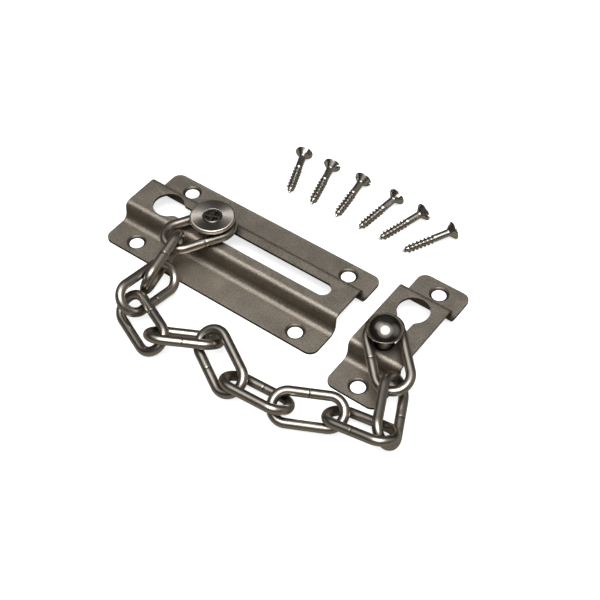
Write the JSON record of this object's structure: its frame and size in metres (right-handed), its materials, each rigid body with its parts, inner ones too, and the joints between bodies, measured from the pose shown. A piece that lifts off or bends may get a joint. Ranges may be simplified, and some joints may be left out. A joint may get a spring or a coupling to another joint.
{
  "type": "door chain guard",
  "caption": "Door chain guard: a slotted track plate and a keyhole anchor plate joined by a slack welded-link chain with captive studs, with countersunk wood screws.",
  "frame": {"origin": "centre of the track plate's four screw holes, on its mounting face", "axes": "+Z leaves the door face, +X runs along the track from the keyhole's round end to the slot's closed end, +Y points from the track plate towards the loose screws"},
  "size_m": [0.1631, 0.1334, 0.0243],
  "materials": {
    "plate_satin": "satin nickel plate, fine even grain",
    "cap_satin": "satin nickel plate, turned and brushed in rings",
    "stud_bright": "bright nickel plate",
    "chain_bright": "bright nickel plate, lightly worn",
    "knob_polished": "polished nickel plate",
    "screw_bright": "bright nickel plate"
  },
  "bodies": {
    "track": {"track_plate": "plate_satin", "wood_screws": "screw_bright"},
    "track_stud": {"track_cap": "cap_satin", "track_rivet": "stud_bright", "track_collar": "stud_bright", "track_foot": "stud_bright"},
    "track_end_link": {"track_end_link": "chain_bright"},
    "link_2": {"link_2": "chain_bright"},
    "link_3": {"link_3": "chain_bright"},
    "link_4": {"link_4": "chain_bright"},
    "link_5": {"link_5": "chain_bright"},
    "link_6": {"link_6": "chain_bright"},
    "link_7": {"link_7": "chain_bright"},
    "link_8": {"link_8": "chain_bright"},
    "link_9": {"link_9": "chain_bright"},
    "link_10": {"link_10": "chain_bright"},
    "anchor_end_link": {"anchor_end_link": "chain_bright"},
    "anchor_stud": {"anchor_knob": "knob_polished", "anchor_collar": "stud_bright", "anchor_foot": "stud_bright"},
    "anchor": {"anchor_plate": "plate_satin"}
  },
  "joints": [
    {"name": "track_slide", "type": "slide", "parent": "track", "child": "track_stud", "axis": [1, 0, 0], "range_m": [-0.009, 0.05]},
    {"name": "track_swivel", "type": "hinge", "parent": "track_stud", "child": "track_end_link", "pos_m": [-0.0145, 0, 0.0129], "axis": [0, 0, 1], "range_deg": [-12, 6]},
    {"name": "hinge_2", "type": "hinge", "parent": "track_end_link", "child": "link_2", "pos_m": [-0.0197, -0.02021, 0.01276], "axis": [-0.9828, -0.1669, 0.079], "range_deg": [-10, 45]},
    {"name": "hinge_3", "type": "hinge", "parent": "link_2", "child": "link_3", "pos_m": [-0.01596, -0.04198, 0.01074], "axis": [-0.2444, -0.0847, -0.966], "range_deg": [-3, 8]},
    {"name": "hinge_4", "type": "hinge", "parent": "link_3", "child": "link_4", "pos_m": [-0.01196, -0.0523, 0.00705], "axis": [0.3488, 0.8558, -0.3821], "range_deg": [-22, 30]},
    {"name": "hinge_5", "type": "hinge", "parent": "link_4", "child": "link_5", "pos_m": [0.00574, -0.05632, 0.00885], "axis": [-0.4437, 0.7823, 0.4372], "range_deg": [-40, 18]},
    {"name": "hinge_6", "type": "hinge", "parent": "link_5", "child": "link_6", "pos_m": [0.02458, -0.04875, 0.0096], "axis": [-0.3389, -0.8343, 0.4349], "range_deg": [-10, 18]},
    {"name": "hinge_7", "type": "hinge", "parent": "link_6", "child": "link_7", "pos_m": [0.04402, -0.05618, 0.00692], "axis": [0.0531, -0.8265, -0.5604], "range_deg": [-8, 40]},
    {"name": "hinge_8", "type": "hinge", "parent": "link_7", "child": "link_8", "pos_m": [0.0649, -0.05352, 0.00638], "axis": [-0.3249, 0.8128, -0.4835], "range_deg": [-15, 36]},
    {"name": "hinge_9", "type": "hinge", "parent": "link_8", "child": "link_9", "pos_m": [0.0847, -0.04624, 0.00704], "axis": [0.1331, -0.8559, -0.4997], "range_deg": [-20, 4]},
    {"name": "hinge_10", "type": "hinge", "parent": "link_9", "child": "link_10", "pos_m": [0.10015, -0.03981, 0.00716], "axis": [-0.9835, -0.0515, -0.1736], "range_deg": [-60, 22]},
    {"name": "hinge_11", "type": "hinge", "parent": "link_10", "child": "anchor_end_link", "pos_m": [0.09037, -0.02164, 0.01122], "axis": [-0.3617, -0.6092, 0.7057], "range_deg": [-24, 4]},
    {"name": "anchor_swivel", "type": "hinge", "parent": "anchor_end_link", "child": "anchor_stud", "pos_m": [0.078, -0.0094, 0.013], "axis": [0, 0, 1], "range_deg": [-30, 12]},
    {"name": "anchor_slide", "type": "slide", "parent": "anchor_stud", "child": "anchor", "axis": [0, -1, 0], "range_m": [0, 0.0032]}
  ]
}
